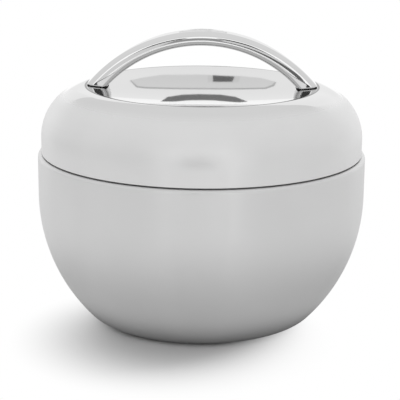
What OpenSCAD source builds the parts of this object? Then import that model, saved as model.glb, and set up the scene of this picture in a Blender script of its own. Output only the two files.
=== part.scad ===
// Insulated bowl: a double-walled steel vessel with a lift-off bayonet lid and an arched handle.
// Millimetres. The origin is the centre of the standing ring on the ground, +Z is up,
// the handle runs along X and the viewer stands at -Y.

/* [Bowl] */
// Largest diameter of the bowl
bowl_d = 180; // [165:1:200]
// Height of the shoulder that the lid sits over
bowl_h = 92; // [88:1:96]
// Radius of the arc that makes the belly
belly_arc_r = 95; // [92:1:100]
// Height at which the bowl is widest
belly_z = 69; // [66:1:74]
// Radius between the belly and the ground
foot_round = 12; // [10:0.5:14]
// Radius of the shoulder's outer edge
shoulder_round = 2; // [1:0.25:3]
// Thickness of the drawn steel
steel_t = 0.8; // [0.6:0.1:1]

/* [Neck and liner] */
// Step from the bowl's side to the outside of the steel neck
neck_step = 9; // [8.2:0.2:10]
// Height of the lip above the shoulder
neck_h = 12; // [11.5:0.25:13]
// Space between the neck and the liner inside it
neck_gap = 0.8; // [0.6:0.1:1]
// Height of the food vessel's floor above the ground
floor_z = 8.8; // [8.5:0.1:11]
// Radius of the arc in the liner's side
liner_arc_r = 68; // [64:1:70]
// Height at which the liner's side becomes straight
liner_arc_z = 60; // [58:1:64]
// Radius between the liner's side and its floor
floor_round = 30; // [26:1:32]
// Thickness of the foil round the liner
foil_t = 0.2; // [0.1:0.05:0.3]
// Space between the foil and the liner
foil_gap = 0.3; // [0.2:0.05:0.5]
// Distance from the shoulder down to the foil's edge
foil_drop = 8; // [6:1:20]

/* [Base] */
// Width of the flat that the bowl stands on
ring_w = 5.2; // [4:0.2:9]
// Height of the ring's upstand
ring_h = 5; // [4.5:0.1:5.5]
// Height of the base cover above the ground
cover_z = 1.2; // [0.8:0.1:1.6]
// Radius of the evacuation hole
seal_hole_r = 2; // [1.5:0.1:3]
// Radius of the glass bead below the hole
bead_r = 4; // [3.5:0.1:6]
// Height of the bead below the base plate
bead_h = 1; // [0.6:0.1:1.4]
// Radius of the getter pellet
getter_r = 4; // [3:0.25:5]
// Height of the getter pellet
getter_h = 1.4; // [1:0.1:1.6]
// Distance of the getter from the bowl's axis
getter_x = 20; // [14:1:24]
// Thickness of the strip that holds the getter
clip_t = 0.3; // [0.2:0.05:0.4]
// Width of that strip
clip_w = 5; // [3:0.5:6]

/* [Bayonet] */
// Thickness of the plastic collar on the neck
collar_t = 1.75; // [1.5:0.05:1.9]
// Height of the collar
collar_h = 9.5; // [9:0.1:10]
// Number of ledges, and of lugs
lug_count = 4; // [3:1:5]
// Angle that each ledge spans
ledge_angle = 40; // [30:1:44]
// Angle that each lug spans
lug_angle = 26; // [16:1:28]
// Angle that the lid turns from open to locked
turn_angle = 40; // [36:1:42]
// Height of a ledge's lower face above the shoulder
ledge_z = 6; // [5.6:0.1:6.4]
// Thickness of a ledge
ledge_t = 2.4; // [1.8:0.1:2.6]
// Thickness of a lug
lug_t = 2.6; // [1.8:0.1:3]

/* [Lid] */
// Step from the bowl's side to the lid's side
lid_step = 2; // [1:0.25:2.5]
// Height of the groove between lid and bowl
seam_gap = 0.6; // [0.4:0.1:1]
// Height of the lid from its edge to its crest
lid_h = 36.4; // [34:0.2:38]
// Radius of the dome between side and crest
dome_round = 28; // [26:0.5:30]
// Width from the lid's side to the fold between crest and dish
crest_w = 24.5; // [24:0.5:27]
// Depth of the dish below the fold
dish_depth = 3.6; // [3:0.1:5]
// Width of the hem inside the lid's edge
hem_w = 2.2; // [1.8:0.1:2.3]

/* [Lid inside] */
// Thickness of the inner cover's walls
cover_wall = 1.5; // [1.2:0.1:1.7]
// Depth of the plug below the bowl's lip
plug_depth = 5; // [3:0.5:8]
// Space between the plug and the liner
plug_gap = 1.4; // [1.3:0.1:2]
// Height of the gasket
gasket_h = 2.3; // [1.8:0.1:2.8]
// Height of the gasket's fin in the mouth
fin_h = 3; // [2:0.1:4]
// Space between the foam and the steel above it
foam_gap = 0.3; // [0.2:0.1:0.6]

/* [Handle] */
// Distance from the fold of the dish to the outer end of a foot
foot_inset = 0.6; // [0.5:0.1:3]
// Length of each foot along the arch
foot_w = 12.1; // [11:0.1:13.5]
// Height of the handle above the crest
handle_rise = 29.7; // [26:0.1:34]
// Thickness of the handle at its crown
handle_t = 7.8; // [6.5:0.1:8.5]
// Width of the handle
handle_w = 15; // [12:0.5:16]
// Radius of the handle's upper edges
handle_edge = 3.2; // [2:0.1:3.6]
// Radius of the handle's lower edges
gap_edge = 2.4; // [1:0.1:2.6]
// Thickness of the seal under each foot
foot_seal_t = 0.5; // [0.4:0.05:0.8]
// Radius of the screws
screw_r = 2; // [1.5:0.1:2.5]
// Distance from a foot's inner end to its screw
screw_inset = 4.3; // [3.8:0.1:4.8]
// Height of the screw's grip inside the foot
screw_grip = 4.4; // [3.5:0.1:5]
// Radius of the screw's head
head_r = 3.6; // [3:0.1:4]
// Height of the screw's head
head_h = 2.4; // [2:0.1:2.8]
// Width across the flats of the screw's socket
socket_w = 2.5; // [2:0.1:3]
// Thickness of the saddle plate at its thin end
saddle_t = 1.2; // [1:0.1:2]

/* [Hidden] */
$fn = 96;
// Steps in each arc of an outline
arc_steps = 14;
// Steps in the part of the dish that the feet stand on
foot_steps = 3;
// Overrun of every cut
over = 1;
// Gap between pieces that are pressed or welded together
fit_gap = 0.05;
// Gap between pieces that turn or lift past each other
run_gap = 0.4;
// Gap between the gasket and what it rests on
seat_gap = 0.3;
// Gap round a screw in the pieces that it passes through
screw_gap = 0.3;

// Bowl: centres and angles of its arcs
bowl_r = bowl_d / 2;
belly_x = bowl_r - belly_arc_r;
foot_x = belly_x + sqrt(pow(belly_arc_r - foot_round, 2) - pow(belly_z - foot_round, 2));
foot_angle = atan2(belly_z - foot_round, foot_x - belly_x);
ring_r = foot_x - ring_w;
neck_r = bowl_r - neck_step;
lip_z = bowl_h + neck_h;
plate_z = ring_h - steel_t;

// Liner: centres and angles of its arcs
liner_r = neck_r - steel_t - neck_gap - steel_t;
liner_x = liner_r - liner_arc_r;
floor_x = liner_x + sqrt(pow(liner_arc_r - floor_round, 2) - pow(liner_arc_z - floor_z - floor_round, 2));
liner_angle = atan2(liner_arc_z - floor_z - floor_round, floor_x - liner_x);
liner_under_z = floor_z - steel_t;

// Lid: heights and centres of its arcs
lid_r = bowl_r - lid_step;
lid_z = bowl_h + seam_gap;
crest_z = lid_z + lid_h;
dome_x = lid_r - dome_round;
dome_z = crest_z - dome_round;
dish_r = lid_r - crest_w;
dome_angle = acos((dish_r - dome_x) / dome_round);
fold_z = dome_z + dome_round * sin(dome_angle);
dish_z = fold_z - dish_depth;
dish_arc_r = (pow(dish_r, 2) + pow(dish_depth, 2)) / (2 * dish_depth);

// Lid inside
skirt_r = lid_r - steel_t - fit_gap;
skirt_in_r = skirt_r - cover_wall;
hem_r = lid_r - hem_w;
web_z = lip_z + seat_gap + gasket_h + seat_gap;
web_top_z = web_z + cover_wall;
web_angle = asin((web_top_z - dome_z) / (dome_round - steel_t - fit_gap));
plug_r = liner_r - plug_gap;
plug_in_r = plug_r - cover_wall;
plug_z = lip_z - plug_depth;

// Bayonet
collar_in_r = neck_r + fit_gap;
collar_r = collar_in_r + collar_t;
ledge_r = min(skirt_in_r, hem_r) - run_gap;
lug_in_r = collar_r + run_gap;
lug_top_z = bowl_h + ledge_z - run_gap;
pitch = 360 / lug_count;
// Angle from the middle of a ledge to the lug's leading end when the lid is locked
lock_end = pitch / 2 - turn_angle - lug_angle / 2;
// Angle of free play at the stop
stop_play = 0.6;

// Handle: its two arcs, in the plane of the arch
handle_top_z = crest_z + handle_rise;
foot_out_x = dish_r - foot_inset;
foot_in_x = foot_out_x - foot_w;
foot_mid_x = foot_out_x - foot_w / 2;
screw_x = foot_in_x + screw_inset;
arch_r = (pow(foot_out_x, 2) + pow(handle_rise, 2)) / (2 * handle_rise);
arch_z = handle_top_z - arch_r;
gap_rise = handle_rise - handle_t;
gap_r = (pow(foot_in_x, 2) + pow(gap_rise, 2)) / (2 * gap_rise);
gap_z = handle_top_z - handle_t - gap_r;
saddle_z = dish_height(foot_in_x) - steel_t - fit_gap - saddle_t;
grip_top_z = dish_height(screw_x) + foot_seal_t + screw_grip;

// Points along an arc about (x, z)
function arc(x, z, r, from, to, steps = arc_steps) =
    [for (i = [0:steps]) let (a = from + (to - from) * i / steps) [x + r * cos(a), z + r * sin(a)]];

// Height of the dish at a distance from the axis
function dish_height(x) = dish_z + dish_arc_r - sqrt(pow(dish_arc_r, 2) - pow(x, 2));

// Outline of the bowl from the standing ring to the shoulder, moved inwards by inset
function bowl_line(inset) = concat(
    arc(foot_x, foot_round, foot_round - inset, -90, -foot_angle),
    arc(belly_x, belly_z, belly_arc_r - inset, -foot_angle, 0),
    arc(bowl_r - shoulder_round, bowl_h - shoulder_round, shoulder_round - inset, 0, 90)
);

// Outline of the liner's inside from the axis to the straight wall, moved outwards by outset
function liner_line(outset) = concat(
    [[0, floor_z - outset]],
    arc(floor_x, floor_z + floor_round, floor_round + outset, -90, -liner_angle),
    arc(liner_x, liner_arc_z, liner_arc_r + outset, -liner_angle, 0)
);

// Outline of the dome from its straight side to the fold, moved inwards by inset
function dome_line(inset) = arc(dome_x, dome_z, dome_round - inset, 0, dome_angle);

// Outline of the dish between two distances from the axis, moved down by drop
function dish_line(drop, from_r, to_r, steps = arc_steps) =
    let (r = dish_arc_r + drop)
    arc(0, dish_z + dish_arc_r, r, -90 + asin(from_r / r), -90 + asin(to_r / r), steps);

function reversed(points) = [for (i = [len(points) - 1:-1:0]) points[i]];

// A solid of revolution from an outline
module lathe(points) {
    rotate_extrude() polygon(points);
}

// A part ring between two radii, centred on an angle
module ring_part(in_r, out_r, low_z, high_z, middle, span) {
    rotate([0, 0, middle - span / 2])
        rotate_extrude(angle = span)
            translate([in_r, low_z]) square([out_r - in_r, high_z - low_z]);
}

// What lies below the dish where the feet stand, raised by lift
module below_dish(lift) {
    lathe(concat(
        [[0, dome_z], [lid_r, dome_z], [lid_r, fold_z + lift]],
        reversed(dish_line(-lift, foot_in_x - foot_w, dish_r, foot_steps)),
        [[0, dish_z]]
    ));
}

// The column in which a foot stands, with side 1 for +X and -1 for -X
module foot_column(side, inset) {
    translate([side * foot_mid_x, 0, crest_z])
        cube([foot_w - 2 * inset, handle_w - 2 * inset, dome_round], center = true);
}

// A through hole for a handle screw from low_z to above the crest
module screw_hole(side, low_z, gap) {
    translate([side * screw_x, 0, low_z]) cylinder(h = crest_z + over - low_z, r = screw_r + gap);
}

module outer_shell() {
    color("silver") lathe(concat(
        [[ring_r, 0]],
        bowl_line(0),
        [[neck_r, bowl_h], [neck_r, lip_z - steel_t], [neck_r - steel_t, lip_z - steel_t], [neck_r - steel_t, bowl_h - steel_t]],
        reversed(bowl_line(steel_t)),
        [[ring_r + steel_t, steel_t], [ring_r + steel_t, ring_h], [ring_r, ring_h]]
    ));
}

module inner_liner() {
    color("gainsboro") lathe(concat(
        liner_line(0),
        [[liner_r, lip_z], [neck_r, lip_z], [neck_r, lip_z - steel_t], [liner_r + steel_t, lip_z - steel_t]],
        reversed(liner_line(steel_t))
    ));
}

module radiation_foil() {
    inner = steel_t + foil_gap;
    outer = inner + foil_t;
    color("peru") lathe(concat(
        arc(floor_x, floor_z + floor_round, floor_round + inner, -90, -liner_angle),
        arc(liner_x, liner_arc_z, liner_arc_r + inner, -liner_angle, 0),
        [[liner_r + inner, bowl_h - foil_drop], [liner_r + outer, bowl_h - foil_drop]],
        reversed(arc(liner_x, liner_arc_z, liner_arc_r + outer, -liner_angle, 0)),
        reversed(arc(floor_x, floor_z + floor_round, floor_round + outer, -90, -liner_angle))
    ));
}

module base_plate() {
    color("darkgray") difference() {
        translate([0, 0, plate_z]) cylinder(h = steel_t, r = ring_r - fit_gap);
        translate([0, 0, plate_z - over]) cylinder(h = steel_t + 2 * over, r = seal_hole_r + fit_gap);
    }
}

module vacuum_seal() {
    color("darkslategray") {
        translate([0, 0, plate_z - fit_gap - bead_h]) cylinder(h = bead_h, r1 = bead_r - bead_h, r2 = bead_r);
        translate([0, 0, plate_z - fit_gap - bead_h / 2]) cylinder(h = bead_h / 2 + fit_gap + steel_t, r = seal_hole_r);
    }
}

module getter() {
    color("dimgray") translate([getter_x, 0, liner_under_z - fit_gap - getter_h]) cylinder(h = getter_h, r = getter_r);
}

module getter_clip() {
    low_z = liner_under_z - 2 * fit_gap - getter_h - clip_t;
    half = getter_r + fit_gap + clip_t;
    color("lightsteelblue") translate([getter_x, 0, 0]) {
        translate([-half, -clip_w / 2, low_z]) cube([2 * half, clip_w, clip_t]);
        for (side = [-1, 1])
            translate([side * (half - clip_t / 2) - clip_t / 2, -clip_w / 2, low_z])
                cube([clip_t, clip_w, liner_under_z - fit_gap - low_z]);
    }
}

module base_cover() {
    cup_r = ring_r - fit_gap;
    color("gray") lathe([
        [0, cover_z], [cup_r, cover_z], [cup_r, plate_z - fit_gap], [cup_r - steel_t, plate_z - fit_gap],
        [cup_r - steel_t, cover_z + steel_t], [0, cover_z + steel_t]
    ]);
}

module neck_ring() {
    stop_span = ledge_angle / 2 + lock_end - stop_play;
    color("dimgray") {
        lathe([
            [collar_in_r, bowl_h + fit_gap], [collar_r, bowl_h + fit_gap],
            [collar_r, bowl_h + collar_h], [collar_in_r, bowl_h + collar_h]
        ]);
        for (i = [0:lug_count - 1]) {
            ring_part(neck_r + collar_t / 2, ledge_r, bowl_h + ledge_z, bowl_h + ledge_z + ledge_t, i * pitch, ledge_angle);
            ring_part(
                neck_r + collar_t / 2, ledge_r, bowl_h + ledge_z - lug_t, bowl_h + ledge_z + ledge_t,
                i * pitch - ledge_angle / 2 + stop_span / 2, stop_span
            );
        }
    }
}

module seal_ring() {
    low_z = lip_z + seat_gap;
    in_r = plug_r + seat_gap;
    fin_r = liner_r - seat_gap;
    color("whitesmoke") lathe([
        [in_r, lip_z - fin_h], [fin_r, lip_z - fin_h], [fin_r, low_z],
        [neck_r, low_z], [neck_r, low_z + gasket_h], [in_r, low_z + gasket_h]
    ]);
}

module lid_shell() {
    color("silver") difference() {
        lathe(concat(
            [[hem_r, lid_z], [lid_r, lid_z]],
            dome_line(0),
            reversed(dish_line(0, 0, dish_r)),
            dish_line(steel_t, 0, dish_r - steel_t),
            reversed(dome_line(steel_t)),
            [[lid_r - steel_t, lid_z + steel_t], [hem_r, lid_z + steel_t]]
        ));
        for (side = [-1, 1]) screw_hole(side, dish_z - over, screw_gap);
    }
}

module lid_inner_cover() {
    skirt_z = lid_z + steel_t + fit_gap;
    color("lightgray") {
        lathe(concat(
            [[skirt_in_r, skirt_z], [skirt_r, skirt_z]],
            arc(dome_x, dome_z, dome_round - steel_t - fit_gap, 0, web_angle),
            [
                [plug_in_r, web_top_z], [plug_in_r, plug_z + cover_wall], [0, plug_z + cover_wall],
                [0, plug_z], [plug_r, plug_z], [plug_r, web_z], [skirt_in_r, web_z]
            ]
        ));
        for (i = [0:lug_count - 1])
            ring_part(lug_in_r, skirt_r - cover_wall / 2, lug_top_z - lug_t, lug_top_z, (i + 1 / 2) * pitch, lug_angle);
    }
}

module lid_insulation() {
    top_drop = steel_t + foam_gap;
    low_z = web_top_z + fit_gap;
    dome_in_r = dome_round - top_drop;
    foam_r = plug_in_r - fit_gap;
    color("lightyellow") difference() {
        lathe(concat(
            [[0, plug_z + cover_wall], [foam_r, plug_z + cover_wall], [foam_r, low_z]],
            arc(dome_x, dome_z, dome_in_r, asin((low_z - dome_z) / dome_in_r), dome_angle),
            reversed(dish_line(top_drop, 0, dish_r - top_drop))
        ));
        for (side = [-1, 1])
            translate([side * foot_mid_x, 0, saddle_z - head_h - foam_gap])
                cylinder(h = crest_z - saddle_z + head_h + over, r = norm([foot_w, handle_w]) / 2 + foam_gap);
    }
}

module handle() {
    color("white") difference() {
        translate([0, 0, arch_z]) rotate([90, 0, 0]) rotate_extrude() polygon(concat(
            [[0, -handle_w / 2]],
            arc(arch_r - handle_edge, handle_edge - handle_w / 2, handle_edge, -90, 0),
            arc(arch_r - handle_edge, handle_w / 2 - handle_edge, handle_edge, 0, 90),
            [[0, handle_w / 2]]
        ));
        translate([0, 0, gap_z]) rotate([90, 0, 0]) rotate_extrude() polygon(concat(
            [[0, -handle_w / 2 - over], [gap_r + gap_edge, -handle_w / 2 - over]],
            arc(gap_r + gap_edge, gap_edge - handle_w / 2, gap_edge, -90, -180),
            arc(gap_r + gap_edge, handle_w / 2 - gap_edge, gap_edge, 180, 90),
            [[gap_r + gap_edge, handle_w / 2 + over], [0, handle_w / 2 + over]]
        ));
        below_dish(foot_seal_t);
        translate([0, 0, dome_z + over - arch_r]) cube([4 * arch_r, 4 * arch_r, 2 * arch_r], center = true);
        for (side = [-1, 1])
            translate([side * screw_x, 0, dish_z]) cylinder(h = grip_top_z + screw_gap - dish_z, r = screw_r + fit_gap);
    }
}

module foot_seal(side) {
    color("black") difference() {
        intersection() {
            foot_column(side, foot_seal_t);
            below_dish(foot_seal_t - fit_gap);
        }
        below_dish(fit_gap);
        screw_hole(side, dish_z - over, screw_gap);
    }
}

module foot_seal_left() {
    foot_seal(-1);
}

module foot_seal_right() {
    foot_seal(1);
}

module handle_saddle(side) {
    color("darkgray") difference() {
        intersection() {
            translate([side * foot_mid_x, 0, saddle_z + dome_round / 2])
                cube([foot_w - steel_t, handle_w - 2 * steel_t, dome_round], center = true);
            below_dish(-steel_t - fit_gap);
        }
        screw_hole(side, saddle_z - over, screw_gap);
    }
}

module handle_saddle_left() {
    handle_saddle(-1);
}

module handle_saddle_right() {
    handle_saddle(1);
}

module handle_screw(side) {
    head_top_z = saddle_z - fit_gap;
    color("lightslategray") translate([side * screw_x, 0, 0]) difference() {
        union() {
            translate([0, 0, head_top_z - head_h]) cylinder(h = head_h, r = head_r);
            translate([0, 0, head_top_z - head_h / 2]) cylinder(h = grip_top_z - head_top_z + head_h / 2, r = screw_r);
        }
        translate([0, 0, head_top_z - head_h - over])
            cylinder(h = head_h / 2 + over, r = socket_w / sqrt(3), $fn = 6);
    }
}

module handle_screw_left() {
    handle_screw(-1);
}

module handle_screw_right() {
    handle_screw(1);
}

outer_shell();
inner_liner();
radiation_foil();
base_plate();
vacuum_seal();
getter();
getter_clip();
base_cover();
neck_ring();
seal_ring();
lid_shell();
lid_inner_cover();
lid_insulation();
handle();
foot_seal_left();
foot_seal_right();
handle_saddle_left();
handle_saddle_right();
handle_screw_left();
handle_screw_right();
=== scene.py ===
"""Dresses the packed model of an insulated steel bowl with lid and handle, and sets its studio."""

import math

import bmesh
import bpy
import numpy as np
from mathutils import Matrix, Vector


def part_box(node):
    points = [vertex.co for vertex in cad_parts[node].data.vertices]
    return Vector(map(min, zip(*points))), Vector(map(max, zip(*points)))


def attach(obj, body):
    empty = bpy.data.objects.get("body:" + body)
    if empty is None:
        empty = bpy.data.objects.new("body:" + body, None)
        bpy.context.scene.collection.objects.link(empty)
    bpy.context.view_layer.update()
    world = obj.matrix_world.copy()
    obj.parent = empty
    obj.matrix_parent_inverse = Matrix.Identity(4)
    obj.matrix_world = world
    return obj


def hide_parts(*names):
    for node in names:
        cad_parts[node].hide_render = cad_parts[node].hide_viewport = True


bl_info = {
    "name": "Insulated bowl",
    "version": (1, 0, 0),
    "blender": (4, 5, 0),
    "location": "3D View > Sidebar > Bowl",
    "description": "Makes the visible pieces of an insulated steel bowl, their finishes and a studio",
    "category": "Add Mesh",
}

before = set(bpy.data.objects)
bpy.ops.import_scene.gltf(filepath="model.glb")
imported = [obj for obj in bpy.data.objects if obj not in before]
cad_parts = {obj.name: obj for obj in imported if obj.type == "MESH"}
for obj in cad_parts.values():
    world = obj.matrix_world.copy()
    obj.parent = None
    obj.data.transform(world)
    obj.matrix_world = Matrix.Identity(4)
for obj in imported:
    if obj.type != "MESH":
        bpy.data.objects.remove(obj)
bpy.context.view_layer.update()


def low(node):
    """Lowest corner of a packed node."""
    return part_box(node)[0]


def high(node):
    """Highest corner of a packed node."""
    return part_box(node)[1]


def metres(name, description, default):
    """A length property, in metres."""
    return bpy.props.FloatProperty(
        name=name, description=description, default=default, unit="LENGTH", precision=5
    )


def degrees(name, description, default):
    """An angle property, given in degrees and held in radians."""
    return bpy.props.FloatProperty(
        name=name, description=description, default=math.radians(default), subtype="ANGLE"
    )


def share(name, description, default):
    """A property between 0 and 1."""
    return bpy.props.FloatProperty(
        name=name, description=description, default=default, min=0.0, max=1.0, subtype="FACTOR"
    )


def colour(name, description, *default):
    """A colour property."""
    return bpy.props.FloatVectorProperty(
        name=name, description=description, default=default, size=3, min=0.0, max=1.0, subtype="COLOR"
    )


# Sizes
class BowlSizes(bpy.types.PropertyGroup):
    """Sizes of the bowl, with what the packed model fixes taken from its boxes."""

    sheet: metres("Sheet", "Thickness of the pressed steel", 0.0008)
    edge: metres("Edge", "Rounding of the cut edges of the steel", 0.0002)
    radius: metres("Radius", "Radius of the bowl at its widest", high("outer_shell").x)
    height: metres("Height", "Height of the bowl's shoulder", 0.092)
    belly_radius: metres("Belly arc", "Radius of the arc of the belly", 0.095)
    belly_height: metres("Belly height", "Height of the centre of the belly arc", 0.069)
    foot_round: metres("Foot rounding", "Radius from the belly into the standing ring", 0.012)
    shoulder_round: metres("Shoulder rounding", "Radius of the shoulder under the seam", 0.002)
    ring_width: metres("Ring width", "Width of the flat standing ring", 0.0052)
    ring_height: metres("Ring height", "Height of the standing ring inside", 0.005)
    neck_radius: metres("Neck radius", "Outer radius of the neck", high("inner_liner").x)
    lip: metres("Lip height", "Height of the lip where both skins meet", high("inner_liner").z)
    liner_gap: metres("Liner gap", "Gap between the two skins at the neck", 0.0008)
    liner_floor: metres("Liner floor", "Height of the food vessel's floor", low("inner_liner").z + 0.0008)
    liner_arc: metres("Liner arc", "Radius of the arc of the food vessel's wall", 0.068)
    liner_arc_height: metres("Liner arc height", "Height of the centre of that arc", 0.060)
    liner_round: metres("Liner rounding", "Radius from the food vessel's wall into its floor", 0.030)
    cover_height: metres("Cover height", "Recess of the base cover in its ring", low("base_cover").z)
    cover_radius: metres("Cover radius", "Radius of the base cover", high("base_cover").x)
    cover_top: metres("Cover top", "Height of the base cover's rim", high("base_cover").z)


class LidSizes(bpy.types.PropertyGroup):
    """Sizes of the lid, its gasket and its handle."""

    edge: metres("Edge", "Rounding of the edges of the lid's pressing and of the gasket", 0.0003)
    radius: metres("Radius", "Radius of the lid", high("lid_shell").x)
    hem_height: metres("Hem height", "Height of the lid's lower edge", low("lid_shell").z)
    crest: metres("Crest height", "Height that the dome's arc would reach", 0.129)
    dome_round: metres("Dome arc", "Radius of the dome's arc", 0.028)
    dish_radius: metres("Dish radius", "Radius of the fold between dome and dish", 0.0635)
    dish_depth: metres("Dish depth", "Depth of the dish at the axis", 0.0036)
    hem_width: metres("Hem width", "Width of the folded hem", 0.0022)
    polish_height: metres("Polish height", "Height above which the lid is polished", 0.119)
    polish_radius: metres("Polish radius", "Radius inside which the lid is polished", 0.0710)
    satin_radius: metres("Satin radius", "Radius outside which the lid is fully satin", 0.0800)
    # The fold line is painted shade: a dark ring painted where the fold between dish and crest shows dark.
    line_width: metres("Fold line width", "Width of the dark line where the dish meets the crest", 0.0011)
    handle_top: metres("Handle top", "Height of the top of the handle", high("handle").z)
    handle_thick: metres("Handle thickness", "Thickness of the arch at its top", 0.0078)
    handle_width: metres("Handle width", "Width of the arch", 2 * high("handle").y)
    foot_out: metres("Foot outside", "Distance of a foot's outer edge from the axis", 0.0629)
    foot_in: metres("Foot inside", "Distance of a foot's inner edge from the axis", 0.0508)
    foot_seal: metres("Foot seal", "Thickness of the seal under a foot", 0.0005)
    seal_inset: metres("Seal inset", "How far the seal stays inside the foot's outline", 0.0004)
    top_edge: metres("Upper edge", "Rounding of the arch's upper edges", 0.0036)
    low_edge: metres("Lower edge", "Rounding of the arch's lower edges", 0.0030)
    gasket_in: metres("Gasket bore", "Inner radius of the gasket", 0.0775)
    gasket_top: metres("Gasket top", "Height of the gasket's upper face", high("seal_ring").z)
    gasket_seat: metres("Gasket seat", "Height of its seat on the lip", high("inner_liner").z + 0.0003)
    gasket_low: metres("Gasket fin", "Height of the lower edge of the gasket's fin", low("seal_ring").z)
    gasket_fin: metres("Fin radius", "Outer radius of the gasket's fin", 0.0783)
    gasket_rim: metres("Gasket radius", "Outer radius of the gasket", high("seal_ring").x)


# Finishes
class Finishes(bpy.types.PropertyGroup):
    """Colours and roughness of the materials."""

    satin: colour("Satin steel", "Colour of the satin bowl", 0.73, 0.73, 0.73)
    dome: colour("Satin lid", "Colour of the satin dome", 0.785, 0.785, 0.785)
    crest: colour("Polished crest", "Colour of the polished crest", 0.71, 0.71, 0.71)
    dish: colour("Mirror dish", "Colour of the mirror dish", 0.62, 0.62, 0.62)
    arch: colour("Handle steel", "Colour of the polished handle", 0.74, 0.74, 0.74)
    # seam is the colour of painted shade: the dark ring painted where the fold between dish and crest shows
    # dark; the lid has no seam there.
    seam: colour("Fold line", "Colour of the dark line where the dish meets the crest", 0.10, 0.10, 0.10)
    liner: colour("Food vessel", "Colour of the food vessel's steel", 0.68, 0.68, 0.67)
    mill: colour("Mill steel", "Colour of the hidden steel plates", 0.58, 0.58, 0.59)
    zinc: colour("Zinc", "Colour of the plated screws", 0.60, 0.61, 0.64)
    copper: colour("Copper", "Colour of the foil", 0.80, 0.48, 0.32)
    sinter: colour("Getter", "Colour of the sintered getter", 0.12, 0.12, 0.13)
    bead: colour("Glass solder", "Colour of the glass bead", 0.05, 0.09, 0.08)
    collar: colour("Collar", "Colour of the collar's plastic", 0.10, 0.105, 0.11)
    cover: colour("Inner cover", "Colour of the inner cover's plastic", 0.66, 0.66, 0.65)
    silicone: colour("Silicone", "Colour of the gasket", 0.78, 0.78, 0.76)
    rubber: colour("Rubber", "Colour of the foot seals", 0.012, 0.012, 0.012)
    foam: colour("Foam", "Colour of the lid's foam", 0.80, 0.72, 0.48)
    satin_rough: share("Satin roughness", "Roughness of the satin steel", 0.42)
    polish_rough: share("Polish roughness", "Roughness of the polished steel", 0.04)
    brushing: share("Brushing", "How far the brushing stretches reflections", 0.55)
    marks: share("Brush marks", "How strongly the brush marks change the satin's colour", 0.05)
    clouds: share("Clouds", "How strongly slow clouds change the satin's colour", 0.36)


# Studio values
class Studio(bpy.types.PropertyGroup):
    """The camera, the lights and what the steel mirrors of the floor."""

    distance: metres("Camera distance", "Distance from the point that the camera looks at", 0.7723)
    elevation: degrees("Camera elevation", "Height angle of the camera", 14.905)
    azimuth: degrees("Camera azimuth", "Turn of the camera round the bowl", 0.70)
    roll: degrees("Camera roll", "Roll of the camera about its axis", 0.54)
    aim_side: metres("Aim aside", "Sideways place of the point looked at", -0.0006)
    aim_height: metres("Aim height", "Height of the point looked at", 0.0635)
    lens: bpy.props.FloatProperty(
        name="Lens", description="Focal length on a sensor 36 mm wide", default=124.4, unit="CAMERA"
    )
    sky: share("Sky", "Share of the floor's light that comes evenly from all round", 0.46)
    key_elevation: degrees("Key elevation", "Height angle of the lamp", 35.0)
    key_azimuth: degrees("Key azimuth", "Angle of the lamp from straight behind towards the right", 55.0)
    key_breadth: degrees("Key breadth", "How broad the lamp looks from the bowl", 40.0)
    floor: colour("Floor", "Colour of the floor", 0.86, 0.86, 0.86)
    floor_radius: metres("Floor radius", "Radius of the floor", 0.55)
    # The mirror, side and spot values shape painted shade and painted light that steel sees on the floor:
    # black at the foot, a near and a far tone, a painted light spot in front and painted shade on the
    # right.
    mirror_foot: metres("Floor foot", "Distance from the axis up to which steel mirrors it black", 0.055)
    mirror_near: metres("Near floor", "Distance from the axis at which steel mirrors the near tone", 0.083)
    mirror_far: metres("Far floor", "Distance from the axis from which steel mirrors the far tone", 0.20)
    mirror_dark: share("Near tone", "Brightness of the floor that steel mirrors beside the bowl", 0.54)
    mirror_light: share("Far tone", "Brightness of the floor that steel mirrors farther out", 0.91)
    mirror_side: share("Right side", "How much darker steel mirrors the floor on the right", 0.07)
    side_near: metres("Right side near", "Distance to the right at which that starts", 0.05)
    side_far: metres("Right side far", "Distance to the right from which it is full", 0.15)
    mirror_spot: share("Front spot", "Extra brightness that steel mirrors of the floor in front", 0.90)
    spot_side: metres("Spot aside", "Sideways middle of that spot", 0.01)
    spot_back: metres("Spot ahead", "Place from front to back of its middle", -0.40)
    spot_reach: metres("Spot reach", "Distance from its middle at which it ends", 0.17)
    shade_side: metres("Shade aside", "Sideways middle of the floor's shaded part", -0.014)
    shade_back: metres("Shade behind", "Place from front to back of that middle", -0.047)
    shade_near: metres("Shade near", "Distance from that middle at which the floor starts to whiten", 0.022)
    shade_far: metres("Shade far", "Distance from that middle from which the floor is white", 0.090)
    tent: metres("Tent", "Radius of the white tent that steel mirrors", 1.6)
    tent_light: share("Tent light", "Brightness of the tent's sides", 0.84)
    tent_top: share("Tent top", "Brightness of the tent overhead", 0.88)


# Outlines
def arc(centre_r, centre_z, radius, start, end, steps):
    """Points of a circle: r = centre_r + radius cos a, z = centre_z + radius sin a, for a in degrees."""
    angle = np.radians(np.linspace(start, end, steps + 1))
    return np.stack([centre_r + radius * np.cos(angle), centre_z + radius * np.sin(angle)], axis=1)


def straight(start, end, steps):
    """Evenly spaced points from start to end."""
    return np.linspace(start, end, steps + 1)


def joined(*paths):
    """The paths end to end, with a point that repeats the one before it left out."""
    points = np.concatenate([np.atleast_2d(np.asarray(path, float)) for path in paths])
    step = np.linalg.norm(np.diff(points, axis=0), axis=1)
    return points[np.concatenate([[True], step > 1e-7])]


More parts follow.
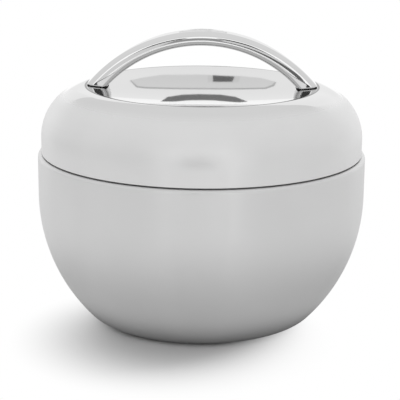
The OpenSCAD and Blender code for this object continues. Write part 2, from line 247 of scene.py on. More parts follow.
def eased(outline, radius, closed):
    """Rounds each sharp corner with a parabola between points that lie radius away from it.

    The parabola is (1 - t)^2 A + 2 t (1 - t) P + t^2 C for a corner P between A and C. One more point
    on each side, the guard, keeps the rounding's shading off the flats.
    """
    sharp = math.cos(math.radians(20))
    longest = 0.4
    guard = 1.15
    before = np.roll(outline, 1, axis=0) - outline
    after = np.roll(outline, -1, axis=0) - outline
    reach_before = np.linalg.norm(before, axis=1)
    reach_after = np.linalg.norm(after, axis=1)
    turn = np.einsum("ij,ij->i", -before, after) / (reach_before * reach_after + 1e-20)
    corner = turn < sharp
    if not closed:
        corner[[0, -1]] = False
    cut = np.minimum(radius, longest * np.minimum(reach_before, reach_after))
    toward = (before / (reach_before[:, None] + 1e-20) * cut[:, None])[:, None]
    onward = (after / (reach_after[:, None] + 1e-20) * cut[:, None])[:, None]
    middle = outline[:, None]
    t = np.linspace(0, 1, 5)[:, None]
    curve = middle + (1 - t) ** 2 * toward + t**2 * onward
    seven = np.concatenate([middle + guard * toward, curve, middle + guard * onward], axis=1)
    seven[~corner, 3] = outline[~corner]
    keep = np.repeat(corner[:, None], 7, axis=1)
    keep[:, 3] = True
    return seven[keep]


# Meshes
def placed(name, data):
    """A new object of the scene, at the origin."""
    made = bpy.data.objects.new(name, data)
    bpy.context.scene.collection.objects.link(made)
    return made


def grid_object(name, grid, wrap_rows):
    """An object from a grid of points that closes round its columns, and with wrap_rows round its rows.

    Face (i, j) joins the points (i, j), (i, j + 1), (i + 1, j + 1) and (i + 1, j). Rows drawn together
    to one point become a pole.
    """
    rows, columns = grid.shape[:2]
    i, j = np.meshgrid(np.arange(rows if wrap_rows else rows - 1), np.arange(columns), indexing="ij")
    i_next = (i + 1) % rows
    j_next = (j + 1) % columns
    corners = [i * columns + j, i * columns + j_next, i_next * columns + j_next, i_next * columns + j]
    quads = np.stack(corners, axis=-1).reshape(-1, 4)
    mesh = bpy.data.meshes.new(name)
    mesh.from_pydata(grid.reshape(-1, 3).tolist(), [], quads.tolist())
    tidy = bmesh.new()
    tidy.from_mesh(mesh)
    tidy.verts.ensure_lookup_table()
    poles = np.flatnonzero(np.ptp(grid, axis=1).max(axis=1) < 1e-9)
    for row in poles:
        bmesh.ops.remove_doubles(tidy, verts=tidy.verts[row * columns : (row + 1) * columns], dist=1e-6)
        tidy.verts.ensure_lookup_table()
    tidy.to_mesh(mesh)
    tidy.free()
    mesh.shade_smooth()
    return placed(name, mesh)


def turned(name, outline, turns, closed):
    """A turned piece: each outline point (r, z) goes round the axis as (r cos a, r sin a, z)."""
    angle = np.arange(turns) * 2 * math.pi / turns
    r = outline[:, 0, None]
    z = outline[:, 1, None]
    grid = np.stack([r * np.cos(angle), r * np.sin(angle), z + 0 * angle], axis=-1)
    return grid_object(name, grid, closed)


def seat(piece, body, node, finish):
    """Puts a piece with its finish in the place of a packed node."""
    piece.data.materials.append(finish)
    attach(piece, body)
    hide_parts(node)


# Shader maths
class Wire:
    """A socket on which arithmetic adds Math nodes."""

    def __init__(self, tree, socket):
        self.tree = tree
        self.socket = socket

    def maths(self, operation, *values):
        """A Math node on these values."""
        return self.tree.add("ShaderNodeMath", {"operation": operation}, dict(enumerate(values)))

    def most(self, *others):
        """The greatest of this value and the others."""
        best = self
        for other in others:
            best = self.maths("MAXIMUM", best, other)
        return best

    def of(self, output):
        """Another output of the same node, by its name or place."""
        return Wire(self.tree, self.socket.node.outputs[output])

    def __add__(self, other):
        return self.maths("ADD", self, other)

    def __radd__(self, other):
        return self.maths("ADD", other, self)

    def __sub__(self, other):
        return self.maths("SUBTRACT", self, other)

    def __rsub__(self, other):
        return self.maths("SUBTRACT", other, self)

    def __mul__(self, other):
        return self.maths("MULTIPLY", self, other)

    def __rmul__(self, other):
        return self.maths("MULTIPLY", other, self)

    def __truediv__(self, other):
        return self.maths("DIVIDE", self, other)

    def __rtruediv__(self, other):
        return self.maths("DIVIDE", other, self)

    def __pow__(self, other):
        return self.maths("POWER", self, other)

    def __abs__(self):
        return self.maths("ABSOLUTE", self)


class Tree:
    """The nodes of one material or of the world."""

    def __init__(self, owner):
        owner.use_nodes = True
        self.nodes = owner.node_tree.nodes
        self.links = owner.node_tree.links
        self.nodes.clear()

    def add(self, kind, settings=None, sockets=None):
        """Adds a node: its settings first, then its sockets' values or links."""
        node = self.nodes.new(kind)
        for key, value in (settings or {}).items():
            setattr(node, key, value)
        for key, value in (sockets or {}).items():
            if isinstance(value, Wire):
                self.links.new(value.socket, node.inputs[key])
            else:
                node.inputs[key].default_value = value
        return Wire(self, node.outputs[0]) if node.outputs else None

    def place(self):
        """The point in the object's own space, and its three coordinates."""
        point = self.add("ShaderNodeTexCoord").of("Object")
        apart = self.add("ShaderNodeSeparateXYZ", None, {0: point})
        return point, apart.of("X"), apart.of("Y"), apart.of("Z")

    def noise(self, vector, scale, detail):
        """Soft noise between 0 and 1."""
        return self.add("ShaderNodeTexNoise", None, {"Vector": vector, "Scale": scale, "Detail": detail})

    def ramp(self, value, start, end, low_value=0.0, high_value=1.0):
        """A smooth step of value from low_value at start to high_value at end."""
        return self.add(
            "ShaderNodeMapRange", {"interpolation_type": "SMOOTHSTEP"},
            {"Value": value, "From Min": start, "From Max": end, "To Min": low_value, "To Max": high_value},
        )

    def mix(self, factor, first, second):
        """A colour between two colours, each a link or three numbers."""
        ends = [end if isinstance(end, Wire) else (*end, 1.0) for end in (first, second)]
        mixed = self.add("ShaderNodeMix", {"data_type": "RGBA"}, {"Factor": factor, 6: ends[0], 7: ends[1]})
        return mixed.of(2)

    def tinted(self, factor, tint, first, second):
        """A colour between first times the tint and second times the tint, neither above 1."""
        ends = [[min(1.0, part * level) for part in tint] for level in (first, second)]
        return self.mix(factor, *ends)

    def bump(self, height, strength, depth):
        """A normal moved by a height."""
        return self.add("ShaderNodeBump", None, {"Height": height, "Strength": strength, "Distance": depth})

    def glow(self, tone):
        """A shader that shines with this colour, where 1 is white."""
        return self.add("ShaderNodeEmission", None, {"Color": tone, "Strength": 1.0})

    def finish(self, shader):
        """Makes a shader the surface of the material."""
        self.add("ShaderNodeOutputMaterial", None, {"Surface": shader})

    def surface(self, **sockets):
        """A principled surface, with the names of its sockets written with underscores."""
        values = {key.replace("_", " "): value for key, value in sockets.items()}
        self.finish(self.add("ShaderNodeBsdfPrincipled", None, values))


def distance(x, y, at_x=0.0, at_y=0.0):
    """Distance over the ground from a place: the root of (x - at_x)^2 + (y - at_y)^2."""
    across = x - at_x
    along = y - at_y
    return (across * across + along * along) ** 0.5


# Materials
def material(name):
    """A new material and its empty tree."""
    made = bpy.data.materials.new(name)
    return made, Tree(made)


def rings(tree, pitch):
    """Fine marks round the axis: noise that is quick over radius and height and slow along the circle."""
    _, x, y, z = tree.place()
    radius = distance(x, y)
    safe = radius + 1e-5
    slow = 6.0
    quick = 1 / pitch
    spot = tree.add("ShaderNodeCombineXYZ", None, {0: x / safe * slow, 1: y / safe * slow, 2: z * quick})
    return tree.add(
        "ShaderNodeTexNoise", {"noise_dimensions": "4D"},
        {"Vector": spot, "W": radius * quick, "Scale": 1.0, "Detail": 3.0, "Roughness": 0.6},
    )


def brushed(tree, tint, rough, finishes):
    """The colour and roughness of steel brushed round the axis, with its fine marks and slow clouds."""
    marks = rings(tree, 0.0007)
    fine = rings(tree, 0.00022)
    cloud = tree.noise(tree.place()[0], 28.0, 2.0)
    tone = (marks - 0.5) * finishes.marks + (cloud - 0.5) * finishes.clouds + 0.5
    shade = tree.tinted(tone, tint, 0.88, 1.12)
    roughness = (fine - 0.5) * 0.10 + (cloud - 0.5) * 0.05 + rough
    return shade, roughness, fine, cloud


def satin_steel(name, tint, rough, finishes):
    """Steel brushed round the axis."""
    made, tree = material(name)
    shade, roughness, fine, _ = brushed(tree, tint, rough, finishes)
    tree.surface(
        Base_Color=shade,
        Metallic=1.0,
        Roughness=roughness,
        Anisotropic=finishes.brushing,
        Anisotropic_Rotation=0.25,
        Normal=tree.bump(fine, 0.12, 0.00002),
    )
    return made


def lid_steel(name, finishes, sizes):
    """Satin steel that turns to mirror polish towards the crest, with a painted shade line at the fold: a
    dark ring painted where the fold shows dark.
    """
    made, tree = material(name)
    satin, satin_rough, fine, cloud = brushed(tree, finishes.dome, finishes.satin_rough, finishes)
    _, x, y, height = tree.place()
    radius = distance(x, y)
    top = tree.ramp(height, sizes.polish_height, sizes.polish_height + 0.0005)
    polished = (1 - tree.ramp(radius, sizes.polish_radius, sizes.satin_radius)) * top
    # line masks the painted shade: a thin dark ring at the fold, coloured with the seam value.
    aside = abs(radius - sizes.dish_radius)
    line = (1 - tree.ramp(aside, 0.35 * sizes.line_width, 0.65 * sizes.line_width)) * top
    outside = tree.ramp(radius, sizes.dish_radius - 0.0001, sizes.dish_radius + 0.0001)
    bright = tree.mix(outside, finishes.dish, finishes.crest)
    polish_rough = (cloud - 0.5) * 0.02 + finishes.polish_rough
    tree.surface(
        # Base colour: satin, then polish, then the painted shade line on top.
        Base_Color=tree.mix(line, tree.mix(polished, satin, bright), finishes.seam),
        Metallic=1.0,
        Roughness=satin_rough * (1 - polished) + polish_rough * polished,
        Anisotropic=finishes.brushing * 0.6,
        Anisotropic_Rotation=0.25,
        Normal=tree.bump(fine * (1 - polished), 0.12, 0.00002),
    )
    return made


def mirror_steel(name, tint, rough):
    """Steel polished to a mirror, with faint polishing haze."""
    made, tree = material(name)
    point = tree.place()[0]
    haze = tree.noise(point, 60.0, 3.0)
    wave = tree.noise(point, 35.0, 1.0)
    tree.surface(
        Base_Color=tree.tinted(haze, tint, 0.97, 1.03),
        Metallic=1.0,
        Roughness=(haze - 0.5) * 0.04 + rough,
        Normal=tree.bump(wave, 0.15, 0.0002),
    )
    return made


def sheet_metal(name, tint, rough, grain, depth):
    """Plain metal with an even fine grain."""
    made, tree = material(name)
    point = tree.place()[0]
    speck = tree.noise(point, grain, 4.0)
    cloud = tree.noise(point, 40.0, 2.0)
    tree.surface(
        Base_Color=tree.tinted((speck + cloud) * 0.5, tint, 0.86, 1.1),
        Metallic=1.0,
        Roughness=(speck - 0.5) * 0.2 + rough,
        Normal=tree.bump(speck, 0.4, depth),
    )
    return made


def moulded(name, tint, rough, grain, depth, specular=0.5):
    """Moulded plastic or rubber with a fine matt texture."""
    made, tree = material(name)
    point = tree.place()[0]
    pores = tree.add(
        "ShaderNodeTexVoronoi", {"feature": "SMOOTH_F1"},
        {"Vector": point, "Scale": grain, "Smoothness": 0.6},
    )
    cloud = tree.noise(point, 30.0, 3.0)
    tree.surface(
        Base_Color=tree.tinted(cloud, tint, 0.92, 1.06),
        Roughness=(pores - 0.5) * 0.12 + (cloud - 0.5) * 0.36 + rough,
        Specular_IOR_Level=specular,
        Normal=tree.bump(pores, 0.35, depth),
    )
    return made


def silicone_rubber(name, tint):
    """Soft translucent silicone."""
    made, tree = material(name)
    point = tree.place()[0]
    cloud = tree.noise(point, 90.0, 3.0)
    dust = tree.noise(point, 2400.0, 2.0)
    tree.surface(
        Base_Color=tree.tinted(cloud, tint, 0.94, 1.03),
        Roughness=(dust - 0.5) * 0.16 + 0.46,
        Subsurface_Weight=0.35,
        Subsurface_Scale=0.0015,
        Normal=tree.bump(dust, 0.2, 0.00004),
    )
    return made


def rigid_foam(name, tint):
    """Closed-cell foam: cells as rounded pits, with painted shade darkening their middles."""
    made, tree = material(name)
    cells = tree.add(
        "ShaderNodeTexVoronoi", {"feature": "DISTANCE_TO_EDGE"},
        {"Vector": tree.place()[0], "Scale": 900.0},
    ).of("Distance")
    pit = tree.ramp(cells, 0.0, 0.35)
    tree.surface(
        # The base colour is painted shade: each pit is lighter at its rim and darker in its sunken middle.
        Base_Color=tree.tinted(pit, tint, 1.08, 0.82),
        Roughness=pit * 0.1 + 0.75,
        Normal=tree.bump(1 - pit, 0.6, 0.0003),
    )
    return made


# Pieces of the bowl
class BOWL_OT_skin(bpy.types.Operator):
    """Make the outer skin: foot, belly, shoulder and neck as one drawn sheet, turned round the axis."""

    bl_idname = "bowl.skin"
    bl_label = "Outer skin"

    def execute(self, context):
        s = context.scene.bowl_sizes
        f = context.scene.bowl_finishes
        belly_r = s.radius - s.belly_radius
        drop = s.belly_height - s.foot_round
        reach = s.belly_radius - s.foot_round
        foot_r = belly_r + math.sqrt(reach**2 - drop**2)
        foot_angle = math.degrees(math.atan2(drop, foot_r - belly_r))
        round_z = s.height - s.shoulder_round

        def side(inset):
            wall = s.radius - inset
            return joined(
                arc(foot_r, s.foot_round, s.foot_round - inset, -90, -foot_angle, 16),
                arc(belly_r, s.belly_height, s.belly_radius - inset, -foot_angle, 0, 72),
                straight((wall, s.belly_height), (wall, round_z), 8),
                arc(s.radius - s.shoulder_round, round_z, s.shoulder_round - inset, 0, 90, 10),
            )

        top = s.lip - s.sheet
        neck_in = s.neck_radius - s.sheet
        ring_in = foot_r - s.ring_width
        outline = joined(
            (ring_in, 0.0),
            side(0.0),
            (s.neck_radius, s.height),
            (s.neck_radius, top),
            (neck_in, top),
            (neck_in, s.height - s.sheet),
            side(s.sheet)[::-1],
            (ring_in + s.sheet, s.sheet),
            (ring_in + s.sheet, s.ring_height),
            (ring_in, s.ring_height),
        )
        piece = turned("bowl_skin", eased(outline, s.edge, True), 288, True)
        steel = satin_steel("bowl satin steel", f.satin, f.satin_rough, f)
        seat(piece, "bowl", "outer_shell", steel)
        return {"FINISHED"}


class BOWL_OT_liner(bpy.types.Operator):
    """Make the food vessel: floor, wall and lip as one drawn sheet, turned round the axis."""

    bl_idname = "bowl.liner"
    bl_label = "Food vessel"

    def execute(self, context):
        s = context.scene.bowl_sizes
        f = context.scene.bowl_finishes
        wall_r = s.neck_radius - 2 * s.sheet - s.liner_gap
        arc_r = wall_r - s.liner_arc
        drop = s.liner_arc_height - s.liner_floor - s.liner_round
        floor_r = arc_r + math.sqrt((s.liner_arc - s.liner_round) ** 2 - drop**2)
        angle = math.degrees(math.atan2(drop, floor_r - arc_r))

        def inside(outset):
            wall = wall_r + outset
            floor = s.liner_floor - outset
            return joined(
                straight((0.0, floor), (floor_r, floor), 24),
                arc(floor_r, s.liner_floor + s.liner_round, s.liner_round + outset, -90, -angle, 24),
                arc(arc_r, s.liner_arc_height, s.liner_arc + outset, -angle, 0, 32),
                straight((wall, s.liner_arc_height), (wall, s.lip - outset), 16),
            )

        outline = joined(
            inside(s.sheet),
            (s.neck_radius, s.lip - s.sheet),
            (s.neck_radius, s.lip),
            inside(0.0)[::-1],
        )
        piece = turned("food_vessel", eased(outline, s.edge, False), 256, False)
        steel = satin_steel("food vessel steel", f.liner, f.satin_rough * 0.8, f)
        seat(piece, "bowl", "inner_liner", steel)
        return {"FINISHED"}


class BOWL_OT_base(bpy.types.Operator):
    """Make the pressed base cover: a shallow cup whose face carries two raised rings.

    Each ring lowers the face by h (1 + cos(pi d / w)) / 2 at a distance d under w from its middle.
    """

    bl_idname = "bowl.base"
    bl_label = "Base cover"

    def execute(self, context):
        s = context.scene.bowl_sizes
        f = context.scene.bowl_finishes
        outer_ring = (0.0415, 0.0022, 0.0005)
        inner_ring = (0.0180, 0.0016, 0.0004)
        r = np.linspace(0.0, s.cover_radius, 121)
        swell = np.zeros_like(r)
        for middle, width, rise in (outer_ring, inner_ring):
            away = np.clip(np.abs(r - middle) / width, 0, 1)
            swell += rise * (1 + np.cos(math.pi * away)) / 2
        face = np.stack([r, s.cover_height - swell], axis=1)
        back = np.stack([r, s.cover_height + s.sheet - swell], axis=1)
        inner = r < s.cover_radius - 1.2 * s.sheet
        outline = joined(
            face,
            (s.cover_radius, s.cover_top),
            (s.cover_radius - s.sheet, s.cover_top),
            (s.cover_radius - s.sheet, s.cover_height + s.sheet),
            back[inner][::-1],
        )
        piece = turned("base_cover_pressing", eased(outline, s.edge, False), 192, False)
        steel = satin_steel("base cover steel", f.mill, f.satin_rough, f)
        seat(piece, "bowl", "base_cover", steel)
        return {"FINISHED"}


# Pieces of the lid
def span_radius(half, rise):
    """Radius of the circle whose arc rises by rise over half its span: (half^2 + rise^2) / (2 rise)."""
    return (half**2 + rise**2) / (2 * rise)


def fold_height(s):
    """Height of the fold, where the dome's arc ends: its centre's height plus sqrt(R^2 - d^2), d aside."""
    aside = s.dish_radius - (s.radius - s.dome_round)
    return s.crest - s.dome_round + math.sqrt(s.dome_round**2 - aside**2)


def dish_height(s, x, y=0.0):
    """Height of the dish, a sphere of radius R that meets the fold: middle + R - sqrt(R^2 - x^2 - y^2)."""
    sphere = span_radius(s.dish_radius, s.dish_depth)
    return fold_height(s) - s.dish_depth + sphere - np.sqrt(sphere**2 - x**2 - y**2)


class LID_OT_skin(bpy.types.Operator):
    """Make the lid's pressing: hem, dome, fold and mirror dish as one sheet, turned round the axis."""

    bl_idname = "lid.skin"
    bl_label = "Lid skin"

    def execute(self, context):
        s = context.scene.lid_sizes
        f = context.scene.bowl_finishes
        sheet = context.scene.bowl_sizes.sheet
        dome_r = s.radius - s.dome_round
        dome_z = s.crest - s.dome_round
        end = math.degrees(math.acos((s.dish_radius - dome_r) / s.dome_round))
        sphere = span_radius(s.dish_radius, s.dish_depth)
        sphere_z = fold_height(s) - s.dish_depth + sphere

        def dish(drop, reach):
            r = np.linspace(0.0, reach, 49)
            return np.stack([r, sphere_z - np.sqrt((sphere + drop) ** 2 - r**2)], axis=1)

        outside = joined(
            straight((s.radius, s.hem_height), (s.radius, dome_z), 6),
            arc(dome_r, dome_z, s.dome_round, 0, end, 72),
        )
        inside = joined(
            straight((s.radius - sheet, s.hem_height + sheet), (s.radius - sheet, dome_z), 6),
            arc(dome_r, dome_z, s.dome_round - sheet, 0, end, 48),
        )
        hem_r = s.radius - s.hem_width
        outline = joined(
            dish(sheet, s.dish_radius - sheet),
            inside[::-1],
            (hem_r, s.hem_height + sheet),
            (hem_r, s.hem_height),
            outside,
            dish(0.0, s.dish_radius)[::-1],
        )
        piece = turned("lid_skin", eased(outline, s.edge, False), 320, False)
        seat(piece, "lid", "lid_shell", lid_steel("lid steel", f, s))
        return {"FINISHED"}


class LID_OT_handle(bpy.types.Operator):
    """Make the arch: a rounded section carried along two arcs.

    At a share t of the way, the outer and inner arcs give the points O(t) and I(t). A section point at
    height h and width w lies at I + (O - I) h / |O - I| + w along Y, and h counts up from I or down from O.
    """

    bl_idname = "lid.handle"
    bl_label = "Arched handle"

    def execute(self, context):
        s = context.scene.lid_sizes
        f = context.scene.bowl_finishes
        t = np.linspace(0, 1, 193)

        def rib(foot, top):
            radius = span_radius(foot, top - s.crest)
            middle = top - radius
            end = math.asin((dish_height(s, foot) + s.foot_seal - middle) / radius)
            angle = end + (math.pi - 2 * end) * t
            return np.stack([radius * np.cos(angle), 0 * t, middle + radius * np.sin(angle)], axis=1)

        outer = rib(s.foot_out, s.handle_top)
        inner = rib(s.foot_in, s.handle_top - s.handle_thick)
        thick = np.linalg.norm(outer - inner, axis=1)
        up = (outer - inner) / thick[:, None]
        half = s.handle_width / 2
        a = np.radians(np.linspace(0, 90, 13))
        top_w = half - s.top_edge + s.top_edge * np.sin(a)
        top_h = -s.top_edge + s.top_edge * np.cos(a)
        low_w = half - s.low_edge + s.low_edge * np.cos(a)
        low_h = s.low_edge - s.low_edge * np.sin(a)
        width = np.concatenate([top_w, low_w, -low_w[::-1], -top_w[::-1]])
        height = np.concatenate([top_h, low_h, low_h[::-1], top_h[::-1]])
        from_top = np.repeat([1.0, 0.0, 0.0, 1.0], a.size)
        h = height + from_top * thick[:, None]
        grid = inner[:, None] + up[:, None] * h[..., None]
        grid[..., 1] += width
        caps = grid[[0, -1]].mean(axis=1, keepdims=True).repeat(grid.shape[1], axis=1)
        grid = np.concatenate([caps[:1], grid, caps[1:]])
        piece = grid_object("arch_handle", grid, False)
        seat(piece, "lid", "handle", mirror_steel("handle polish", f.arch, f.polish_rough))
        return {"FINISHED"}


class LID_OT_foot_seals(bpy.types.Operator):
    """Make the two foot seals: thin pads with rounded corners whose faces follow the dish.

    A pad's outline is a superellipse |x / a|^7 + |y / b|^7 = 1, and its side bulges a little between its
    faces. level is the share of its thickness and spread the share of its outline that each row has.
    """

    bl_idname = "lid.foot_seals"
    bl_label = "Foot seals"

    def execute(self, context):
        s = context.scene.lid_sizes
        f = context.scene.bowl_finishes
        rubber = moulded("seal rubber", f.rubber, rough=0.7, grain=2600.0, depth=0.00003, specular=0.3)
        a = (s.foot_out - s.foot_in) / 2 - s.seal_inset
        b = s.handle_width / 2 - s.seal_inset
        angle = np.arange(96) * 2 * math.pi / 96
        cos = np.cos(angle)
        sin = np.sin(angle)
        power = 2 / 7
        x = a * np.sign(cos) * np.abs(cos) ** power
        y = b * np.sign(sin) * np.abs(sin) ** power
        level = np.array([0.02, 0.02, 0.02, 0.25, 0.5, 0.75, 0.98, 0.98, 0.98])
        spread = np.array([0.0, 0.5, 0.985, 0.997, 1.0, 0.997, 0.985, 0.5, 0.0])
        middle = (s.foot_out + s.foot_in) / 2
        for side, node in ((-1, "foot_seal_left"), (1, "foot_seal_right")):
            px = side * middle + spread[:, None] * x
            py = spread[:, None] * y
            pz = dish_height(s, px, py) + level[:, None] * s.foot_seal
            piece = grid_object(node + "_pad", np.stack([px, py, pz], axis=-1), False)
            seat(piece, "lid", node, rubber)
        return {"FINISHED"}


class LID_OT_gasket(bpy.types.Operator):
    """Make the silicone gasket: a ring, hollowed on top, with a fin whose side waves into two soft lips.

    At a share u of the fin's height its radius is R - wave (1 - cos(4 pi (u - 1 / 4))). At a place v from
    -1 to 1 over its width the top lies hollow (1 - v^2)^2 deep.
    """

    bl_idname = "lid.gasket"
    bl_label = "Gasket"

    def execute(self, context):
        s = context.scene.lid_sizes
        f = context.scene.bowl_finishes
        wave = 0.00022
        hollow = 0.00035
        edge_height = 0.0004
        edge_width = 0.0006
        up = np.linspace(0, 1, 25)
        fin_z = s.gasket_low + (s.gasket_seat - edge_height - s.gasket_low) * up
        fin_r = s.gasket_fin - wave + wave * np.cos(4 * math.pi * (up - 0.25))
        top_r = np.linspace(s.gasket_rim - edge_width, s.gasket_in + edge_width, 17)
        across = np.linspace(-1, 1, 17)
        top_z = s.gasket_top - hollow * (1 - across**2) ** 2
        outline = joined(
            (s.gasket_in, s.gasket_low),
            np.stack([fin_r, fin_z], axis=1),
            (s.gasket_fin, s.gasket_seat),
            (s.gasket_rim, s.gasket_seat),
            (s.gasket_rim, s.gasket_top - edge_height),
            np.stack([top_r, top_z], axis=1),
            (s.gasket_in, s.gasket_top - edge_height),
        )
        piece = turned("gasket_ring", eased(outline, s.edge, True), 224, True)
        seat(piece, "gasket", "seal_ring", silicone_rubber("clear silicone", f.silicone))
        return {"FINISHED"}


# Finishes of the packed nodes
class BOWL_OT_finishes(bpy.types.Operator):
    """Give the packed nodes that stay their own materials."""

    bl_idname = "bowl.finishes"
    bl_label = "Finishes of the packed nodes"

    def execute(self, context):
        f = context.scene.bowl_finishes
        mill = sheet_metal("mill steel", f.mill, rough=0.42, grain=1400.0, depth=0.00002)
        zinc = sheet_metal("zinc plate", f.zinc, rough=0.32, grain=2200.0, depth=0.00002)
        foil = sheet_metal("copper foil", f.copper, rough=0.22, grain=700.0, depth=0.00008)
        sinter = sheet_metal("sintered getter", f.sinter, rough=0.85, grain=3000.0, depth=0.0001)
        bead = moulded("glass bead", f.bead, rough=0.16, grain=500.0, depth=0.00002, specular=0.6)
        collar = moulded("collar plastic", f.collar, rough=0.48, grain=2000.0, depth=0.00004)
        cover = moulded("cover plastic", f.cover, rough=0.42, grain=2000.0, depth=0.00004)
        given = {
            "base_plate": mill,
            "getter_clip": mill,
            "handle_saddle_left": mill,
            "handle_saddle_right": mill,
            "handle_screw_left": zinc,
            "handle_screw_right": zinc,
            "radiation_foil": foil,
            "getter": sinter,
            "vacuum_seal": bead,
            "neck_ring": collar,
            "lid_inner_cover": cover,
            "lid_insulation": rigid_foam("rigid foam", f.foam),
        }
        for node, made in given.items():
            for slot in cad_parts[node].material_slots:
                slot.material = made
        return {"FINISHED"}


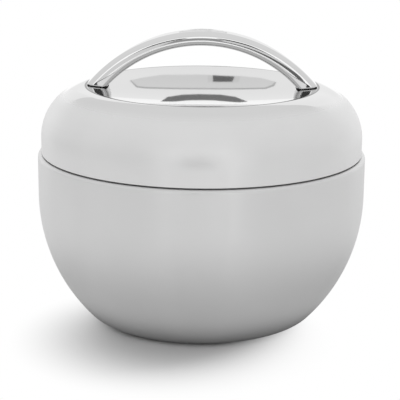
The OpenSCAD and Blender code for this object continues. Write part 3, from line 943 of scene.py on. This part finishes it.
# Stage
class BOWL_OT_stage(bpy.types.Operator):
    """Set the floor, the walls that polished steel mirrors, the lamp, the white world and the camera."""

    bl_idname = "bowl.stage"
    bl_label = "Studio"

    def execute(self, context):
        s = context.scene.bowl_studio
        self.floor(s)
        self.tent(s)
        self.cards()
        self.lamp(s)
        self.world(s)
        self.camera(s)
        context.scene.view_settings.view_transform = "Standard"
        return {"FINISHED"}

    def floor(self, s):
        """A flat round floor that takes the object's shadow.

        Outside its shaded part the camera sees it white. Steel mirrors it as a glow of painted tones:
        painted shade, black at the foot and lighter outwards, a painted light patch in front and painted
        shade on the right.
        """
        r = np.linspace(s.floor_radius, 0.0, 12)
        floor = turned("studio_floor", np.stack([r, 0 * r], axis=1), 96, False)
        made, tree = material("white floor")
        path = tree.add("ShaderNodeLightPath")
        reflected = path.of("Is Glossy Ray")
        point, x, y, _ = tree.place()
        paint = tree.tinted(tree.noise(point, 12.0, 2.0), s.floor, 0.99, 1.0)
        matt = tree.add("ShaderNodeBsdfDiffuse", None, {"Color": paint})
        around = distance(x, y)
        # Painted shade and painted light for reflections: near and far darken the floor towards the foot,
        # spot is a painted light patch in front, right is painted shade on the right side.
        near = tree.ramp(around, s.mirror_foot, s.mirror_near, 0.0, s.mirror_dark)
        far = tree.ramp(around, s.mirror_near, s.mirror_far, 0.0, s.mirror_light - s.mirror_dark)
        spot = 1 - tree.ramp(distance(x, y, s.spot_side, s.spot_back), 0.0, s.spot_reach)
        right = tree.ramp(x, s.side_near, s.side_far, 0.0, s.mirror_side)
        level = near + far + spot * s.mirror_spot - right
        # The mix ends at 2 and its factor is halved, so that a tone can pass 1.
        grey = tree.mix(level * 0.5, (0.0, 0.0, 0.0), (2.0, 2.0, 2.0))
        # white shines white for the camera, and for reflections with the painted tones of grey.
        white = tree.glow(tree.mix(reflected, (1.0, 1.0, 1.0), grey))
        away = distance(x, y, s.shade_side, s.shade_back)
        seen = tree.ramp(away, s.shade_near, s.shade_far) * path.of("Is Camera Ray")
        tree.finish(tree.add("ShaderNodeMixShader", None, {"Fac": seen.most(reflected), 1: matt, 2: white}))
        floor.data.materials.append(made)

    def mirrored(self, piece, low_light, high_light, low_z, high_z):
        """Makes a stage piece shine for reflections alone: low_light at low_z, high_light at high_z."""
        made, tree = material(piece.name + " light")
        height = tree.ramp(tree.place()[3], low_z, high_z)
        tree.finish(tree.glow(tree.mix(height, (low_light,) * 3, (high_light,) * 3)))
        made.cycles.emission_sampling = "NONE"
        piece.data.materials.append(made)
        piece.visible_camera = False
        piece.visible_diffuse = False
        piece.visible_shadow = False

    def tent(self, s):
        """A sphere of white cloth, (R cos e, R sin e) turned round the axis."""
        rise = np.radians(np.linspace(-90, 90, 49))
        outline = s.tent * np.stack([np.cos(rise), np.sin(rise)], axis=1)
        cloth = turned("studio_tent", outline, 96, False)
        self.mirrored(cloth, s.tent_light, s.tent_top, 0.55 * s.tent, 0.85 * s.tent)

    def cards(self):
        """Upright cards that only reflections see, each from its outline in (x, z) and its place in y.

        A card has one brightness, or one below low_z and another above high_z.
        """
        wall = 0.90
        back = 0.60
        front = -0.80
        low_z = 0.25
        high_z = 0.42
        panel = [
            (-0.30, -0.30), (0.55, -0.30), (0.55, 0.82), (0.41, 0.80), (0.34, 0.78), (0.26, 0.76),
            (0.20, 0.71), (0.15, 0.66), (0.08, 0.62), (-0.15, 0.66), (-0.25, 0.655), (-0.30, 0.60),
        ]
        low_panel = [(-0.30, -0.05), (0.55, -0.05), (0.55, 0.19), (-0.30, 0.19)]
        right_panel = [(0.55, -0.30), (1.60, -0.30), (1.60, 0.82), (0.55, 0.82)]
        left_panel = [(-1.60, -0.30), (-0.30, -0.30), (-0.30, 0.55), (-1.60, 0.55)]
        border = [
            (-0.0605, 0.279), (-0.0575, 0.2445), (-0.0515, 0.2415), (-0.0085, 0.246), (0.042, 0.2435),
            (0.0475, 0.2565), (0.048, 0.277), (0.0, 0.290),
        ]
        boat = [
            (-0.0594, 0.279), (-0.050, 0.294), (-0.035, 0.310), (-0.0085, 0.3145), (0.0205, 0.3075),
            (0.0355, 0.297), (0.047, 0.278), (0.0455, 0.262), (0.041, 0.2505), (-0.0085, 0.2525),
            (-0.051, 0.249), (-0.056, 0.252),
        ]
        window_frame = [(-0.003, 0.311), (0.0202, 0.305), (0.0198, 0.279), (-0.0027, 0.2797)]
        window = [(0.0007, 0.3085), (0.0163, 0.303), (0.0151, 0.280), (0.0011, 0.280)]
        crescent = [
            (-0.0412, 0.154), (-0.0342, 0.192), (-0.0217, 0.2095), (-0.0083, 0.2145), (0.0077, 0.212),
            (0.020, 0.197), (0.0313, 0.1586), (0.0238, 0.154), (0.0125, 0.164), (0.0025, 0.173),
            (-0.0083, 0.174), (-0.018, 0.171), (-0.029, 0.158),
        ]
        front_panel = [(-0.45, -0.05), (0.45, -0.05), (0.45, 0.55), (-0.45, 0.55)]
        left_stand = [(-0.17, 0.14), (-0.05, 0.14), (-0.05, 0.31), (-0.17, 0.32)]
        right_stand = [(0.03, 0.12), (0.145, 0.12), (0.145, 0.32), (0.03, 0.31)]
        low_bar = [(0.0, -0.005), (0.13, -0.005), (0.145, 0.05), (0.06, 0.035), (0.0, 0.02)]
        front_shade = [(-0.19, -0.01), (0.14, -0.01), (0.15, 0.13), (-0.20, 0.13)]
        crown_shade = [(-0.05, 0.01), (0.01, 0.01), (0.03, 0.17), (-0.05, 0.15)]
        for name, outline, y, *light in (
            ("white_panel", panel, wall, 0.98, 1.06),
            ("low_panel", low_panel, wall - 0.005, 1.12),
            ("side_panel", right_panel, wall, 1.00),
            ("left_panel", left_panel, wall, 1.02),
            ("back_border", border, back + 0.005, 0.52),
            ("back_panel", boat, back, 0.83),
            ("back_window_frame", window_frame, back - 0.005, 0.76),
            ("back_window", window, back - 0.01, 0.16),
            ("back_crescent", crescent, back - 0.02, 0.20),
            ("front_panel", front_panel, front - 0.15, 1.28),
            ("left_stand", left_stand, front, 0.06),
            ("right_stand", right_stand, front, 0.06),
            ("low_bar", low_bar, front, 0.15),
            ("front_shade", front_shade, front - 0.02, 0.80),
            ("crown_shade", crown_shade, front + 0.01, 0.36),
        ):
            points = [(x, y, z) for x, z in outline]
            mesh = bpy.data.meshes.new(name)
            mesh.from_pydata(points, [], [tuple(range(len(points)))])
            self.mirrored(placed(name, mesh), light[0], light[-1], low_z, high_z)

    def lamp(self, s):
        """A broad lamp high on the right behind, for the floor's shadow and what isn't steel."""
        lamp = bpy.data.lights.new("key_lamp", "SUN")
        lamp.angle = s.key_breadth
        lamp.energy = (1 - s.sky) * math.pi / math.sin(s.key_elevation)
        holder = placed("key_lamp", lamp)
        holder.visible_glossy = False
        level = math.cos(s.key_elevation)
        side = level * math.sin(s.key_azimuth)
        behind = level * math.cos(s.key_azimuth)
        toward = Vector((side, behind, math.sin(s.key_elevation)))
        holder.rotation_euler = toward.to_track_quat("Z", "Y").to_euler()

    def world(self, s):
        """White for the camera and in reflections, and the even light for everything else."""
        world = bpy.data.worlds.new("white studio")
        bpy.context.scene.world = world
        tree = Tree(world)
        path = tree.add("ShaderNodeLightPath")
        seen = path.of("Is Camera Ray").most(path.of("Is Glossy Ray"), path.of("Is Transmission Ray"))
        strength = seen * (1 - s.sky) + s.sky
        shader = tree.add("ShaderNodeBackground", None, {"Color": (1, 1, 1, 1), "Strength": strength})
        tree.add("ShaderNodeOutputWorld", None, {"Surface": shader})

    def camera(self, s):
        """The camera at the photograph's viewing angle."""
        data = bpy.data.cameras.new("camera")
        data.lens = s.lens
        data.clip_start = 0.01
        holder = placed("camera", data)
        aim = Vector((s.aim_side, 0.0, s.aim_height))
        level = math.cos(s.elevation)
        side = math.sin(s.azimuth) * level
        ahead = -math.cos(s.azimuth) * level
        away = Vector((side, ahead, math.sin(s.elevation)))
        turn = (-away).to_track_quat("-Z", "Y").to_matrix().to_4x4() @ Matrix.Rotation(s.roll, 4, "Z")
        holder.matrix_world = Matrix.Translation(aim + away * s.distance) @ turn
        bpy.context.scene.camera = holder


# Panel
class BOWL_PT_panel(bpy.types.Panel):
    """Lists the steps that make the bowl, with their sizes and finishes."""

    bl_idname = "BOWL_PT_panel"
    bl_label = "Insulated bowl"
    bl_space_type = "VIEW_3D"
    bl_region_type = "UI"
    bl_category = "Bowl"

    def draw(self, context):
        for step in STEPS:
            self.layout.operator(step.bl_idname)
        for group, name in GROUPS.items():
            box = self.layout.box()
            box.label(text=group.__doc__)
            values = getattr(context.scene, name)
            for value in group.__annotations__:
                box.prop(values, value)


GROUPS = {
    BowlSizes: "bowl_sizes",
    LidSizes: "lid_sizes",
    Finishes: "bowl_finishes",
    Studio: "bowl_studio",
}
STEPS = (
    BOWL_OT_stage,
    BOWL_OT_skin,
    BOWL_OT_liner,
    BOWL_OT_base,
    LID_OT_skin,
    LID_OT_handle,
    LID_OT_foot_seals,
    LID_OT_gasket,
    BOWL_OT_finishes,
)


# Running
def register():
    """Registers the property groups, the operators and the panel."""
    for group, name in GROUPS.items():
        bpy.utils.register_class(group)
        setattr(bpy.types.Scene, name, bpy.props.PointerProperty(type=group))
    for step in STEPS:
        bpy.utils.register_class(step)
    bpy.utils.register_class(BOWL_PT_panel)


def unregister():
    """Removes them again."""
    bpy.utils.unregister_class(BOWL_PT_panel)
    for step in reversed(STEPS):
        bpy.utils.unregister_class(step)
    for group, name in GROUPS.items():
        delattr(bpy.types.Scene, name)
        bpy.utils.unregister_class(group)


def main():
    """Runs every step in order."""
    register()
    for step in STEPS:
        category, action = step.bl_idname.split(".")
        getattr(getattr(bpy.ops, category), action)()


if __name__ == "__main__":
    main()
